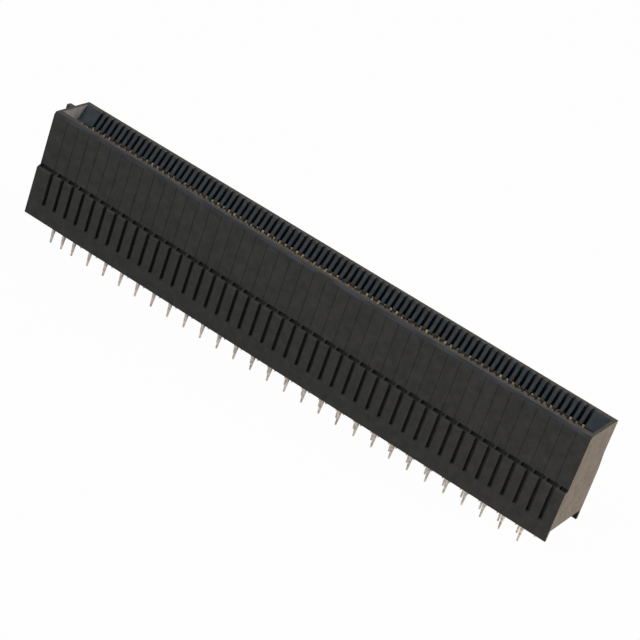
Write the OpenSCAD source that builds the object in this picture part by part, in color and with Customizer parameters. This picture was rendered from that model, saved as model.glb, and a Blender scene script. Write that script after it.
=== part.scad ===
// Backplane connector for a card edge: one moulded housing and two rows of
// press-fit spring contacts. Millimetres, +Z up. X runs along the contact rows,
// Y = 0 is the middle plane of the card, and Z = 0 is the face of the board.

/* [Contact array] */
// Number of contacts in each row
contacts_per_side = 85; // [25:3:85]
// Spacing of the contacts along a row
pitch = 0.75; // [0.75:0.05:1]

/* [Card slot] */
// Width of the card slot
slot_w = 2.1; // [1.9:0.1:2.3]
// From the last contact to the end of the card slot
slot_end = 1.2; // [1:0.1:2]
// Height of the slot floor above the board
slot_floor = 3.4; // [3:0.1:4]
// Width of the flared mouth at the rim
mouth_w = 4.25; // [4.1:0.05:4.6]
// Height of the flared mouth
mouth_h = 1.5; // [1.2:0.1:2]
// Flat shelf at each end of the mouth, beyond the slot
mouth_shelf = 0.95; // [0.5:0.05:1.5]
// Depth of the contact grooves behind the mouth's edge
groove_notch = 0.25; // [0.1:0.05:0.3]

/* [Housing] */
// Height of the rim above the board
body_h = 12.2; // [11.4:0.1:14]
// Front wall at the rim
front_wall = 0.925; // [0.8:0.025:1.2]
// Back wall at the rim
back_wall = 0.75; // [0.65:0.05:1.1]
// End walls at the rim
end_wall = 0.35; // [0.3:0.05:1]
// Front flange, how far it stands out from the wall
flange_proud = 0.48; // [0.4:0.02:0.8]
// Height of the front flange
flange_h = 5.7; // [5:0.05:6]
// Slope of the flange's top, up to the wall
flange_rise = 0.1; // [0.05:0.01:0.3]
// Bevel on the front edge of the flange
flange_edge = 0.14; // [0.08:0.02:0.2]
// Back flange, how far it stands out at the board
back_foot = 0.68; // [0.5:0.02:1]
// Back flange, how far it stands out at its top
back_shoulder = 0.45; // [0.3:0.05:0.5]
// Height of the top of the back flange
back_flange_h = 6.3; // [6:0.1:7]
// Height of the ramp above the back flange
back_ramp_h = 2.1; // [0.5:0.1:3]
// Height of the open channel under the floor
channel_h = 1.15; // [0.9:0.05:1.3]
// Thickness of the skirts at the board
skirt_t = 0.28; // [0.2:0.02:0.5]
// Bevel on the front edge of the rim, its width
edge_w = 0.22; // [0.1:0.02:0.34]
// Bevel on the front edge of the rim, its height
edge_h = 0.28; // [0.1:0.02:0.5]
// Bevel on the back edge of the rim
back_edge = 0.08; // [0.04:0.02:0.3]

/* [Relief slots] */
// Width of a relief slot
relief_w = 0.44; // [0.3:0.02:0.5]
// Height of the foot of a relief slot above the board
relief_foot = 1.8; // [1.5:0.1:2.4]
// Depth of a relief slot behind the face of the wall
relief_depth = 0.05; // [0.02:0.01:0.2]
// Solid bridge between a relief slot and the next pocket
pocket_bridge = 0.28; // [0.2:0.02:0.5]
// Lip of flange left in front of a pocket
pocket_lip = 0.22; // [0.2:0.01:0.35]
// Depth of a pocket behind the face of the wall
pocket_depth = 0.2; // [0.1:0.01:0.25]
// Depth of a pocket below the foot of the wall
pocket_drop = 0.2; // [0.1:0.02:0.4]
// How far the pockets and relief slots reach up the wall
pocket_rise = 0.22; // [0.1:0.02:0.3]
// Wall left at the end of the housing beside the last pocket
pocket_end = 0.12; // [0.1:0.02:0.3]
// Width of the fine mould lines on the walls
mould_line_w = 0.11; // [0.04:0.01:0.14]
// Depth of the fine mould lines
mould_line_d = 0.05; // [0.02:0.01:0.08]

/* [Keying rib] */
// Width of the rib on the end wall
rib_w = 0.75; // [0.5:0.05:1.5]
// How far the rib stands out
rib_proud = 0.66; // [0.3:0.02:1]
// Bevel on the rib's upright edges
rib_edge = 0.12; // [0.05:0.01:0.2]
// Length of the rib, down from the rim
rib_h = 2.6; // [1:0.1:6]

/* [Contacts] */
// Thickness of the contact strip, along the row
contact_t = 0.25; // [0.2:0.01:0.28]
// Play beside a contact in its groove
contact_gap = 0.06; // [0.03:0.005:0.08]
// Thickness of the card that the springs grip
card_t = 1.6; // [1.4:0.1:1.8]
// Travel of each spring when the card is in
spring_travel = 0.17; // [0.1:0.01:0.25]
// Width of the spring at its root
spring_root_w = 0.34; // [0.28:0.02:0.4]
// Width of the spring at its tip
spring_tip_w = 0.2; // [0.16:0.02:0.26]
// Width of the passage that holds a contact's root
passage_w = 0.9; // [0.7:0.05:0.9]
// Height of the shoulder pocket above the channel
shoulder_h = 0.9; // [0.7:0.05:1]
// Spacing of the rows of tails
row_gap = 1.2; // [1.15:0.05:1.3]
// Sideways step from the spring to the tail
tail_jog = 0.3; // [0.2:0.05:0.375]
// Length of a tail below the board's face
tail_l = 2.25; // [2:0.05:3]
// Width of the press-fit zone of a tail
tail_w = 0.4; // [0.34:0.02:0.5]
// Width of the neck above the press-fit zone
neck_w = 0.3; // [0.24:0.02:0.32]

/* [Hidden] */
eps = 0.05;
array_l = (contacts_per_side - 1) * pitch;
slot_l = array_l + 2 * slot_end;
mouth_l = slot_l + 2 * mouth_shelf;
body_l = mouth_l + 2 * end_wall;
mouth_z = body_h - mouth_h;
front_y = -mouth_w / 2 - front_wall;
flange_y = front_y - flange_proud;
back_y = mouth_w / 2 + back_wall;
foot_y = back_y + back_foot;
wall_foot_z = flange_h + flange_rise;
relief_top = wall_foot_z + pocket_rise;

// Contact grooves, root passages and shoulder pockets
groove_back = mouth_w / 2 + groove_notch;
groove_w = contact_t + 2 * contact_gap;
passage_in = groove_back - passage_w;
root_play = 0.04;
shoulder_z = channel_h + shoulder_h;
arm_h = 0.6;
arm_z = shoulder_z - arm_h;
pocket_play = 0.05;

// Relief slots: two contacts to a slot, midway between contacts
relief_count = floor((contacts_per_side + 3) / 2);
relief_step = 2 * pitch;
pocket_foot = wall_foot_z - pocket_drop;
pocket_h = pocket_drop + pocket_rise;

// Contact spring, as distances from the card plane and heights
bow_drop = 1.7;
bow_u = card_t / 2 - spring_travel + spring_tip_w / 2;
bow_z = mouth_z - bow_drop;
tip_drop = 0.05;
tip_lean = 0.6;
tip_u = bow_u + tip_lean;
tip_z = mouth_z - tip_drop;
beam_u = groove_back - passage_w / 2;
curve_pull = 0.38;
beam_steps = 6;
tip_steps = 4;

// Barbs on the contact roots, as shares of the root's height
barb_foot = 0.35;
barb_tip = 0.55;
barb_end = 0.75;

// Press-fit tail heights, measured down from the board's face
neck_end = 0.1;
bulge_top = 0.2;
bulge_end = 0.85;
tip_w = 0.14;
eye_w = 0.13;
eye_top = 0.25;
eye_end = 1.05;
eye_taper = 0.2;
jog_top = channel_h - eps;
jog_end = 0.35;

// Tail rows: 0 is the outer row, 1 the inner row and 2 the middle row
first_pairs = 3;
triples = floor((contacts_per_side - 2 * first_pairs - 1) / 3);
groups = first_pairs + triples;

function contact_x(j) = (j - (contacts_per_side - 1) / 2) * pitch;
function relief_x(k) = contact_x(0) - pitch / 2 + relief_step * k;
function row_u(row) = (2 - row) * row_gap;
function front_row(j) = j < 2 * first_pairs ? 1 - j % 2 : 2 - (j - 2 * first_pairs) % 3;
// The back row is counted from the other end, with one contact between pairs and triples
function back_row(i) = i < 2 * first_pairs ? 1 - i % 2
    : i == 2 * first_pairs ? 1
    : 2 - (i - 2 * first_pairs - 1) % 3;

function front_first(g) = g < first_pairs ? 2 * g : 2 * first_pairs + 3 * (g - first_pairs);
function front_count(g) = g < first_pairs ? 2 : g == groups - 1 ? 4 : 3;
function back_first(g) = g <= first_pairs ? 2 * g : 2 * first_pairs + 1 + 3 * (g - first_pairs);
function back_count(g) = g < first_pairs ? 2 : g == first_pairs ? 4 : 3;
function group_name(side, g) = str(side, "_contacts_", g < 9 ? "0" : "", g + 1);

function bezier(p, t) =
    pow(1 - t, 3) * p[0] + 3 * t * pow(1 - t, 2) * p[1] + 3 * t * t * (1 - t) * p[2] + pow(t, 3) * p[3];
function bezier_slope(p, t) =
    pow(1 - t, 2) * (p[1] - p[0]) + 2 * t * (1 - t) * (p[2] - p[1]) + t * t * (p[3] - p[2]);

// Draws a profile of the Y and Z directions and pulls it along X
module along_x(length) {
    rotate([90, 0, 90]) linear_extrude(height = length, center = true) children();
}

// Draws a profile of the X and Z directions and pulls it along Y, from y0 to y1
module along_y(y0, y1) {
    translate([0, y1, 0]) rotate([90, 0, 0]) linear_extrude(height = y1 - y0) children();
}

// Draws a box by its lowest and highest corners
module block(low, high) {
    translate(low) cube(high - low);
}

// Section of the housing before it is hollowed: skirts, flanges and rim
module housing_section() {
    polygon([
        [flange_y, 0],
        [flange_y + skirt_t, 0],
        [flange_y + skirt_t, channel_h],
        [foot_y - skirt_t, channel_h],
        [foot_y - skirt_t, 0],
        [foot_y, 0],
        [back_y + back_shoulder, back_flange_h],
        [back_y, back_flange_h + back_ramp_h],
        [back_y, body_h - back_edge],
        [back_y - back_edge, body_h],
        [front_y + edge_w, body_h],
        [front_y, body_h - edge_h],
        [front_y, wall_foot_z],
        [flange_y + flange_edge, flange_h],
        [flange_y, flange_h - flange_edge],
    ]);
}

module keying_rib() {
    root_x = -body_l / 2 + end_wall / 2;
    crest_x = -body_l / 2 - rib_proud;
    translate([0, 0, body_h - rib_h]) linear_extrude(height = rib_h) polygon([
        [root_x, -rib_w / 2],
        [root_x, rib_w / 2],
        [crest_x + rib_edge, rib_w / 2],
        [crest_x, rib_w / 2 - rib_edge],
        [crest_x, rib_edge - rib_w / 2],
        [crest_x + rib_edge, -rib_w / 2],
    ]);
}

// The flared mouth that leads the card into its slot
module mouth() {
    flare = (mouth_w - slot_w) / 2 / mouth_h;
    over = mouth_w / 2 + eps * flare;
    along_x(mouth_l) polygon([
        [-slot_w / 2, mouth_z],
        [slot_w / 2, mouth_z],
        [over, body_h + eps],
        [-over, body_h + eps],
    ]);
}

// Outline, seen from above, of the card slot with a groove for each contact
function groove_teeth(side) = [
    for (j = [0 : contacts_per_side - 1])
        let (x = side * contact_x(j))
        each [
            [x - side * groove_w / 2, -side * slot_w / 2],
            [x - side * groove_w / 2, -side * groove_back],
            [x + side * groove_w / 2, -side * groove_back],
            [x + side * groove_w / 2, -side * slot_w / 2],
        ]
];

module card_slot() {
    translate([0, 0, slot_floor]) linear_extrude(height = body_h - slot_floor + eps) polygon(concat(
        [[-slot_l / 2, -slot_w / 2]],
        groove_teeth(1),
        [[slot_l / 2, -slot_w / 2], [slot_l / 2, slot_w / 2]],
        groove_teeth(-1),
        [[-slot_l / 2, slot_w / 2]]
    ));
}

// Profile of the passage that a contact is pressed into from below
function arm_out(row) = max(groove_back - root_play, row_u(row) + neck_w / 2);
function arm_in(row) = min(passage_in + root_play, row_u(row) - neck_w / 2);

module passage(row) {
    along_x(groove_w) polygon([
        [arm_in(row) - pocket_play, channel_h - eps],
        [arm_out(row) + pocket_play, channel_h - eps],
        [arm_out(row) + pocket_play, shoulder_z],
        [groove_back, shoulder_z],
        [groove_back, slot_floor + eps],
        [passage_in, slot_floor + eps],
        [passage_in, shoulder_z],
        [arm_in(row) - pocket_play, shoulder_z],
    ]);
}

module passages() {
    for (j = [0 : contacts_per_side - 1]) {
        translate([contact_x(j), 0, 0]) rotate([0, 0, 180]) passage(front_row(j));
        translate([-contact_x(j), 0, 0]) passage(back_row(j));
    }
}

// Relief slots and mould lines, as seen on the front wall
module relief_slots(top) {
    for (k = [0 : relief_count - 1])
        translate([relief_x(k) - relief_w / 2, relief_foot]) square([relief_w, top - relief_foot]);
}

module mould_lines(foot) {
    for (k = [0 : relief_count - 1])
        translate([relief_x(k) - relief_w / 2, foot]) square([mould_line_w, body_h - edge_h - foot]);
}

// Pockets along the top of the front flange, each across the head of the slot on its right
module flange_pockets() {
    reach = body_l / 2 - pocket_end;
    for (k = [0 : relief_count]) {
        left = k == 0 ? -reach : relief_x(k - 1) + relief_w / 2 + pocket_bridge;
        right = k == relief_count ? reach : relief_x(k) + relief_w / 2;
        translate([left, pocket_foot]) square([right - left, pocket_h]);
    }
}

module front_reliefs() {
    along_y(flange_y - eps, front_y + relief_depth) relief_slots(relief_top);
    along_y(flange_y + pocket_lip, front_y + pocket_depth) flange_pockets();
    along_y(front_y - eps, front_y + mould_line_d) mould_lines(relief_top);
}

module back_reliefs() {
    mould_foot = back_flange_h + back_ramp_h;
    rotate([0, 0, 180]) {
        along_y(-foot_y - eps, -back_y + relief_depth) relief_slots(flange_h);
        along_y(-back_y - eps, -back_y + mould_line_d) mould_lines(mould_foot);
    }
}

module housing() color("#2d2c2c") difference() {
    union() {
        along_x(body_l) housing_section();
        keying_rib();
    }
    mouth();
    card_slot();
    passages();
    front_reliefs();
    back_reliefs();
}

// Middle line of a spring: up from the root to the bow, then out to the tip
beam_pull = curve_pull * (bow_z - slot_floor);
beam_curve = [
    [beam_u, slot_floor],
    [beam_u, slot_floor + beam_pull],
    [bow_u, bow_z - beam_pull],
    [bow_u, bow_z],
];
tip_pull = curve_pull * [tip_u - bow_u, tip_z - bow_z];
tip_curve = [
    [bow_u, bow_z],
    [bow_u, bow_z + tip_pull[1]],
    [tip_u, tip_z] - tip_pull,
    [tip_u, tip_z],
];
function spring_side(s, curve, steps, first, w0, w1) = [
    for (i = [first : steps])
        let (t = i / steps, d = bezier_slope(curve, t), w = w0 + (w1 - w0) * t)
        bezier(curve, t) + s * w / 2 * [d[1], -d[0]] / norm(d)
];
function spring_edge(s) = concat(
    spring_side(s, beam_curve, beam_steps, 0, spring_root_w, spring_tip_w),
    spring_side(s, tip_curve, tip_steps, 1, spring_tip_w, spring_tip_w)
);
function reversed(list) = [for (i = [len(list) - 1 : -1 : 0]) list[i]];

// One side of the press-fit tail, from its tip up to the shoulder arm
function tail_side(u, s) = [
    [u + s * tip_w / 2, -tail_l],
    [u + s * tail_w / 2, -bulge_end],
    [u + s * tail_w / 2, -bulge_top],
    [u + s * neck_w / 2, neck_end],
    [u + s * neck_w / 2, arm_z],
];

// One side of the barbed root, from the shoulder up to the slot floor
function root_z(share) = shoulder_z + share * (slot_floor - shoulder_z);
function root_side(face, wall) = [
    [face, shoulder_z],
    [face, root_z(barb_foot)],
    [wall, root_z(barb_tip)],
    [face, root_z(barb_end)],
    [face, slot_floor],
];

// Outline of a contact, by distance from the card plane and height
function contact_outline(row) =
    let (u = row_u(row), out = arm_out(row), inn = arm_in(row))
    concat(
        tail_side(u, 1),
        out > u + neck_w / 2 ? [[out, arm_z]] : [],
        out > groove_back - root_play ? [[out, shoulder_z]] : [],
        root_side(groove_back - root_play, groove_back),
        spring_edge(1),
        reversed(spring_edge(-1)),
        reversed(root_side(passage_in + root_play, passage_in)),
        inn < passage_in + root_play ? [[inn, shoulder_z]] : [],
        inn < u - neck_w / 2 ? [[inn, arm_z]] : [],
        reversed(tail_side(u, -1))
    );

// Outline of the eye that lets the press-fit zone yield
function eye_outline(u) = [
    [u, -eye_top],
    [u - eye_w / 2, -eye_top - eye_taper],
    [u - eye_w / 2, -eye_end + eye_taper],
    [u, -eye_end],
    [u + eye_w / 2, -eye_end + eye_taper],
    [u + eye_w / 2, -eye_top - eye_taper],
];

// Edge view of the strip, which steps sideways under the housing floor
function strip_side(s) = [
    [s * contact_t / 2, body_h],
    [s * contact_t / 2, jog_top],
    [s * contact_t / 2 - tail_jog, jog_end],
    [s * contact_t / 2 - tail_jog, -bulge_end],
    [s * tip_w / 2 - tail_jog, -tail_l - eps],
];

// A contact of the back row; turned half round it serves in the front row
module contact(row) {
    outline = contact_outline(row);
    eye = eye_outline(row_u(row));
    intersection() {
        along_x(2 * (tail_jog + contact_t)) polygon(
            concat(outline, eye),
            [[for (i = [0 : len(outline) - 1]) i], [for (i = [0 : len(eye) - 1]) len(outline) + i]]
        );
        along_y(flange_y, foot_y) polygon(concat(strip_side(-1), reversed(strip_side(1))));
    }
}

module front_contacts(g) color("#c9b27a") {
    for (j = [front_first(g) : front_first(g) + front_count(g) - 1])
        translate([contact_x(j), 0, 0]) rotate([0, 0, 180]) contact(front_row(j));
}

module back_contacts(g) color("#c9b27a") {
    for (i = [back_first(g) : back_first(g) + back_count(g) - 1])
        translate([-contact_x(i), 0, 0]) contact(back_row(i));
}

housing();
for (g = [0 : groups - 1]) {
    front_contacts(g);
    back_contacts(g);
}
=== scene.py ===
import math

import bpy
from mathutils import Matrix, Vector


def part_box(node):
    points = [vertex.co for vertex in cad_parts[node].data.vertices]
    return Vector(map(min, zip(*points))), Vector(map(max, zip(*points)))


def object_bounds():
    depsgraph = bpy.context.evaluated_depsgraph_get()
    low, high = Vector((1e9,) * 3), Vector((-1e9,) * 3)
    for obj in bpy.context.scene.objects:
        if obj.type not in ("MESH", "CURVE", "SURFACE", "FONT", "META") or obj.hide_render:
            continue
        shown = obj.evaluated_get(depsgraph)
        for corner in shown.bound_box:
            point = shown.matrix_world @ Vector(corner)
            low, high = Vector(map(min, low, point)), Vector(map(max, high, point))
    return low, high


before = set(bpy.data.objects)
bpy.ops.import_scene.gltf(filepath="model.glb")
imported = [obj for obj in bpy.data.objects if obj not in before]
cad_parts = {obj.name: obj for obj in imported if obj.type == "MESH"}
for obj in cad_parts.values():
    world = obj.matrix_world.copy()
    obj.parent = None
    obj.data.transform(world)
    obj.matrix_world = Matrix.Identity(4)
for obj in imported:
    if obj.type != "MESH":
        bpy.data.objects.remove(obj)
cad_low, cad_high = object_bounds()

MM = 0.001
HOUSING = "housing"
housing_low, housing_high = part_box(HOUSING)

# Camera: its place is measured from the middle of the front skirt's lower edge
CAMERA_PLACE = Vector((87.39, -181.45, 110.99)) * MM
CAMERA_AZIMUTH = math.radians(24.82)
CAMERA_ELEVATION = math.radians(27.29)
CAMERA_ROLL = math.radians(19.78)
CAMERA_LENS = 126.29
CAMERA_SENSOR = 36.0
CAMERA_NEAR = 0.01
CAMERA_FAR = 10

# Heights at which the colour of a contact changes: tin, gold, and at the tip gold darkened by painted
# shade with small painted glints
TIN_TOP = 1.0 * MM
GOLD_FOOT = 2.0 * MM
GOLD_TOP = housing_high.z - 2.5 * MM
TIP_FOOT = housing_high.z - 2.1 * MM

# Lowest and highest point of the painted shade in the pockets along the flange, and how far their
# walls shade each other
POCKET_FOOT = 5.59 * MM
POCKET_TOP = 6.03 * MM
POCKET_REACH = 0.5 * MM

# How open a face in a pocket is where the painted shade is darkest, and where it stops
POCKET_DARK = 0.35
POCKET_OPEN = 0.85

# The flared mouth inside the rim, where a bluish sheen is painted: half its length and width, and its
# lowest and highest point
MOUTH_END = housing_high.x - 0.25 * MM
MOUTH_SIDE = 2.14 * MM
MOUTH_FOOT = housing_high.z - 1.5 * MM
MOUTH_TOP = housing_high.z - 0.02 * MM

# The bevel along the outer edge of the rim, where a bluish sheen is painted: half its length, its
# inner side and its lowest point
BEVEL_END = housing_high.x - 0.02 * MM
BEVEL_SIDE = 2.82 * MM
BEVEL_FOOT = housing_high.z - 0.27 * MM

# Width of the soft edge around each of these areas
FADE = 0.01 * MM

# The darkest and the lightest colour of each surface, as 0 to 255 values on a screen
MOULDED_PLASTIC = (54, 53, 52), (67, 65, 63)
MOUTH_SHEEN_PLASTIC = (53, 56, 60), (67, 71, 76)
BEVEL_SHEEN_PLASTIC = (52, 55, 58), (67, 70, 74)
POCKET_SHADE_PLASTIC = (30, 29, 28), (38, 36, 35)
TIN = (146, 137, 126), (200, 192, 182)
GOLD = (106, 82, 46), (184, 146, 84)
TIP_SHADE_AND_GLINTS = (54, 46, 35), (150, 128, 92)
FLOOR_GREY = (150, 150, 150), (156, 156, 156)

# The range that most values of a noise texture lie in
NOISE_LOW = 0.3
NOISE_HIGH = 0.7

# Sockets of a mix node that belong to its colours: other kinds of value share their names
MIX_FIRST = 6
MIX_SECOND = 7
MIX_RESULT = 2

# The floor's width, how far it shows as plain white, and the sky's strength as light and as it is seen
FLOOR_SIZE = 3.0
FLOOR_GLOW = 0.98
SKY_LIGHT = 0.3
SKY_WHITE = 1.0


def srgb(red, green, blue):
    """A colour given as 0 to 255 values on a screen, as linear light by the sRGB formula."""
    linear = []
    for value in (red, green, blue):
        part = value / 255
        linear.append(part / 12.92 if part <= 0.04045 else ((part + 0.055) / 1.055) ** 2.4)
    return (*linear, 1.0)


class Nodes:
    """Adds nodes to a tree, each wired as it is made."""

    def __init__(self, tree):
        self.tree = tree

    def new(self, kind):
        return self.tree.nodes.new(kind)

    def link(self, source, target):
        self.tree.links.new(source, target)

    def ramp(self, source, colours, low=NOISE_LOW, high=NOISE_HIGH):
        """Two colours along a value: the first up to low, the second from high on."""
        ramp = self.new("ShaderNodeValToRGB")
        for point, position, colour in zip(ramp.color_ramp.elements, (low, high), colours):
            point.position = position
            point.color = srgb(*colour)
        self.link(source, ramp.inputs["Fac"])
        return ramp.outputs["Color"]

    def spread(self, source, low, high, from_low=NOISE_LOW, from_high=NOISE_HIGH):
        """Maps a value from one range to another."""
        spread = self.new("ShaderNodeMapRange")
        spread.inputs["From Min"].default_value = from_low
        spread.inputs["From Max"].default_value = from_high
        spread.inputs["To Min"].default_value = low
        spread.inputs["To Max"].default_value = high
        self.link(source, spread.inputs["Value"])
        return spread.outputs["Result"]

    def above(self, source, limit):
        """1 from a limit up, and 0 below its soft edge."""
        return self.spread(source, 0, 1, limit - FADE, limit)

    def below(self, source, limit):
        """1 up to a limit, and 0 above its soft edge."""
        return self.spread(source, 1, 0, limit, limit + FADE)

    def maths(self, operation, *values):
        node = self.new("ShaderNodeMath")
        node.operation = operation
        for value, socket in zip(values, node.inputs):
            self.link(value, socket)
        return node.outputs["Value"]

    def product(self, *values):
        result = values[0]
        for value in values[1:]:
            result = self.maths("MULTIPLY", result, value)
        return result

    def mix(self, factor, first, second):
        """The first colour where the factor is 0, the second where it is 1."""
        mix = self.new("ShaderNodeMix")
        mix.data_type = "RGBA"
        self.link(factor, mix.inputs["Factor"])
        self.link(first, mix.inputs[MIX_FIRST])
        self.link(second, mix.inputs[MIX_SECOND])
        return mix.outputs[MIX_RESULT]


class Surface(Nodes):
    """The nodes of a new material, around its main shader."""

    def __init__(self, name):
        self.material = bpy.data.materials.new(name)
        self.material.use_nodes = True
        super().__init__(self.material.node_tree)
        self.shader = self.tree.nodes["Principled BSDF"]
        self.place = self.new("ShaderNodeTexCoord").outputs["Object"]

    def noise(self, scale, detail=3.0, roughness=0.5, stretch=None):
        """Soft blotches: the scale is about how many there are in a metre."""
        place = self.place
        if stretch:
            mapping = self.new("ShaderNodeMapping")
            mapping.inputs["Scale"].default_value = stretch
            self.link(place, mapping.inputs["Vector"])
            place = mapping.outputs["Vector"]
        texture = self.new("ShaderNodeTexNoise")
        texture.inputs["Scale"].default_value = scale
        texture.inputs["Detail"].default_value = detail
        texture.inputs["Roughness"].default_value = roughness
        self.link(place, texture.inputs["Vector"])
        return texture.outputs["Fac"]

    def axes(self):
        """The X, Y and Z of a point, in metres, with Z from the board's face."""
        split = self.new("ShaderNodeSeparateXYZ")
        self.link(self.place, split.inputs["Vector"])
        return split.outputs["X"], split.outputs["Y"], split.outputs["Z"]

    def openness(self, reach):
        """1 on open faces, and less inside slots, pockets and grooves."""
        cavity = self.new("ShaderNodeAmbientOcclusion")
        cavity.only_local = True
        cavity.inputs["Distance"].default_value = reach
        return cavity.outputs["AO"]

    def set_value(self, name, value):
        """Gives the shader one value all over."""
        self.shader.inputs[name].default_value = value

    def feed(self, name, source):
        """Gives the shader a value that varies from place to place."""
        self.link(source, self.shader.inputs[name])

    def bump(self, source, strength, depth):
        bump = self.new("ShaderNodeBump")
        bump.inputs["Strength"].default_value = strength
        bump.inputs["Distance"].default_value = depth
        self.link(source, bump.inputs["Height"])
        self.feed("Normal", bump.outputs["Normal"])


def in_mouth(made):
    """1 on the flared mouth and its end walls, 0 on the rest of the housing."""
    x, y, z = made.axes()
    return made.product(
        made.below(made.maths("ABSOLUTE", x), MOUTH_END),
        made.below(made.maths("ABSOLUTE", y), MOUTH_SIDE),
        made.above(z, MOUTH_FOOT),
        made.below(z, MOUTH_TOP),
    )


def on_bevel(made):
    """1 on the bevel along the outer edge of the rim, 0 on the rest of the housing."""
    x, y, z = made.axes()
    return made.product(
        made.below(made.maths("ABSOLUTE", x), BEVEL_END),
        made.above(made.maths("ABSOLUTE", y), BEVEL_SIDE),
        made.above(z, BEVEL_FOOT),
        made.below(z, MOUTH_TOP),
    )


def pocket_shade_mask(made):
    """1 where shade is painted: deep in hollows at the height of the pockets; 0 on open faces and at
    other heights.
    """
    z = made.axes()[2]
    return made.product(
        made.spread(made.openness(POCKET_REACH), 1, 0, POCKET_DARK, POCKET_OPEN),
        made.above(z, POCKET_FOOT),
        made.below(z, POCKET_TOP),
    )


def black_plastic():
    """Matte black moulded plastic, with a bluish sheen painted in the mouth and on the bevel, and
    shade painted in the pockets.
    """
    made = Surface("black plastic")
    mottle = made.noise(scale=1100, detail=5, roughness=0.65)
    # Streaks along the bevel for its painted sheen
    sheen_streaks = made.noise(scale=900, detail=4, stretch=(0.35, 1, 1))
    moulded = made.ramp(mottle, MOULDED_PLASTIC)
    # Painted sheen: a bluer, lighter colour for the mouth
    painted_mouth_sheen = made.ramp(mottle, MOUTH_SHEEN_PLASTIC)
    painted_bevel_sheen = made.ramp(sheen_streaks, BEVEL_SHEEN_PLASTIC, low=0.4, high=0.65)
    # Painted shade: a darker colour for the hollows of the pockets
    painted_pocket_shade = made.ramp(mottle, POCKET_SHADE_PLASTIC)
    # Paints the bluish sheen on the mouth
    colour = made.mix(in_mouth(made), moulded, painted_mouth_sheen)
    # Paints the bluish sheen on the bevel
    colour = made.mix(on_bevel(made), colour, painted_bevel_sheen)
    # Paints the shade in the pockets
    colour = made.mix(pocket_shade_mask(made), colour, painted_pocket_shade)
    made.feed("Base Color", colour)
    made.feed("Roughness", made.spread(made.noise(scale=1500, detail=2), low=0.8, high=0.95))
    made.set_value("Specular IOR Level", 0.08)
    made.bump(made.noise(scale=9000, detail=2), strength=0.15, depth=0.02 * MM)
    return made.material


def plated_contact():
    """Plated strip: tin on the tails, gold on the springs, and at the tips gold darkened by painted
    shade with small painted glints.
    """
    made = Surface("plated contact")
    fine = made.noise(scale=3000)
    patches = made.noise(scale=900, detail=1)
    tin = made.ramp(fine, TIN, low=0.35, high=0.65)
    gold = made.ramp(patches, GOLD, low=0.42, high=0.65)
    # Painted shade with small painted glints: dark gold flecked with lighter gold
    painted_tip_shade = made.ramp(fine, TIP_SHADE_AND_GLINTS, low=0.42, high=0.62)
    height = made.axes()[2]
    colour = made.mix(made.spread(height, 0, 1, TIN_TOP, GOLD_FOOT), tin, gold)
    # Paints the shade and glints on the tips
    colour = made.mix(made.spread(height, 0, 1, GOLD_TOP, TIP_FOOT), colour, painted_tip_shade)
    made.feed("Base Color", colour)
    made.feed("Roughness", made.spread(fine, low=0.4, high=0.52))
    made.set_value("Metallic", 1.0)
    made.bump(made.noise(scale=2500, stretch=(1, 1, 0.15)), strength=0.08, depth=0.01 * MM)
    return made.material


def shown(nodes):
    """1 for the rays that show a background itself: camera, glossy and transmission rays."""
    path = nodes.new("ShaderNodeLightPath")
    rays = path.outputs["Is Camera Ray"]
    for other in ("Is Glossy Ray", "Is Transmission Ray"):
        rays = nodes.maths("MAXIMUM", rays, path.outputs[other])
    return rays


def pale_floor():
    """Pale board that looks white and keeps a faint shadow."""
    made = Surface("pale floor")
    made.feed("Base Color", made.ramp(made.noise(scale=30), FLOOR_GREY))
    made.set_value("Roughness", 0.9)
    made.set_value("Specular IOR Level", 0.0)
    glow = made.new("ShaderNodeEmission")
    blend = made.new("ShaderNodeMixShader")
    share, board, white = blend.inputs
    made.link(made.spread(shown(made), 0, FLOOR_GLOW, 0, 1), share)
    made.link(made.shader.outputs["BSDF"], board)
    made.link(glow.outputs["Emission"], white)
    made.link(blend.outputs["Shader"], made.tree.nodes["Material Output"].inputs["Surface"])
    return made.material


def paint(node, material):
    """Gives a CAD node one material all over."""
    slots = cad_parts[node].data.materials
    slots.clear()
    slots.append(material)


def add_floor():
    bpy.ops.mesh.primitive_plane_add(size=FLOOR_SIZE, location=(0, 0, cad_low.z))
    floor = bpy.context.object
    floor.name = "floor"
    floor.data.materials.append(pale_floor())


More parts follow.
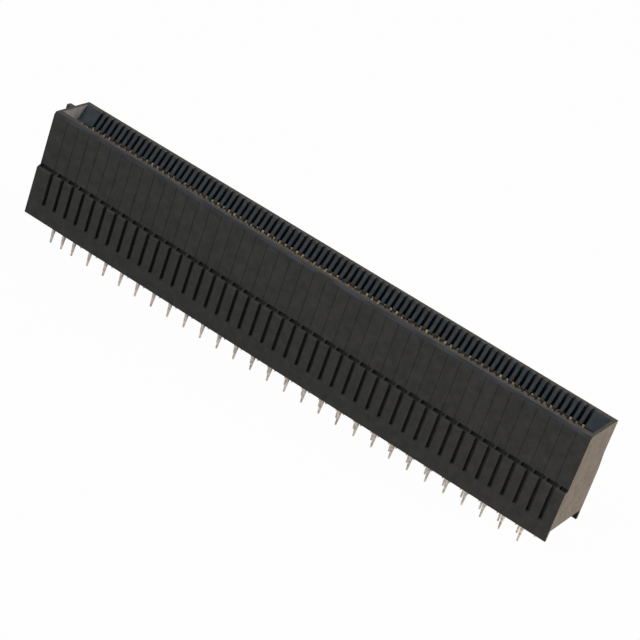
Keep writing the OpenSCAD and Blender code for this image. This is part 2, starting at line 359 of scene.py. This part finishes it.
def add_light(name, direction, distance, size, power, colour):
    """A square soft box that faces the object from a direction."""
    light = bpy.data.lights.new(name, "AREA")
    light.shape = "SQUARE"
    light.size = size
    light.energy = power
    light.color = colour
    lamp = bpy.data.objects.new(name, light)
    bpy.context.scene.collection.objects.link(lamp)
    away = Vector(direction).normalized()
    lamp.location = away * distance
    lamp.rotation_mode = "QUATERNION"
    lamp.rotation_quaternion = away.to_track_quat("Z", "Y")


def add_world():
    """White where it is seen, and softer as light."""
    world = bpy.data.worlds.new("studio")
    bpy.context.scene.world = world
    world.use_nodes = True
    nodes = Nodes(world.node_tree)
    background = nodes.tree.nodes["Background"]
    background.inputs["Color"].default_value = (1, 1, 1, 1)
    nodes.link(nodes.spread(shown(nodes), SKY_LIGHT, SKY_WHITE, 0, 1), background.inputs["Strength"])


def add_camera():
    camera = bpy.data.cameras.new("camera")
    camera.sensor_fit = "HORIZONTAL"
    camera.sensor_width = CAMERA_SENSOR
    camera.lens = CAMERA_LENS
    camera.clip_start = CAMERA_NEAR
    camera.clip_end = CAMERA_FAR
    holder = bpy.data.objects.new("camera", camera)
    bpy.context.scene.collection.objects.link(holder)
    tilt = Matrix.Rotation(math.pi / 2 - CAMERA_ELEVATION, 4, "X")
    turn = Matrix.Rotation(CAMERA_AZIMUTH, 4, "Z")
    roll = Matrix.Rotation(CAMERA_ROLL, 4, "Z")
    place = Matrix.Translation(CAMERA_PLACE + Vector((0, housing_low.y, 0)))
    holder.matrix_world = place @ turn @ tilt @ roll
    bpy.context.scene.camera = holder


plastic = black_plastic()
plated = plated_contact()
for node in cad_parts:
    paint(node, plastic if node == HOUSING else plated)

add_floor()
add_world()
add_light(
    "front box",
    direction=(-0.2, -0.65, 0.7),
    distance=0.8,
    size=0.4,
    power=3.75,
    colour=(0.87, 0.96, 1.0),
)
add_light(
    "right box",
    direction=(1.0, 0.2, 0.22),
    distance=1.0,
    size=0.3,
    power=37.0,
    colour=(1.0, 0.84, 0.69),
)
add_camera()

bpy.context.scene.view_settings.view_transform = "Standard"
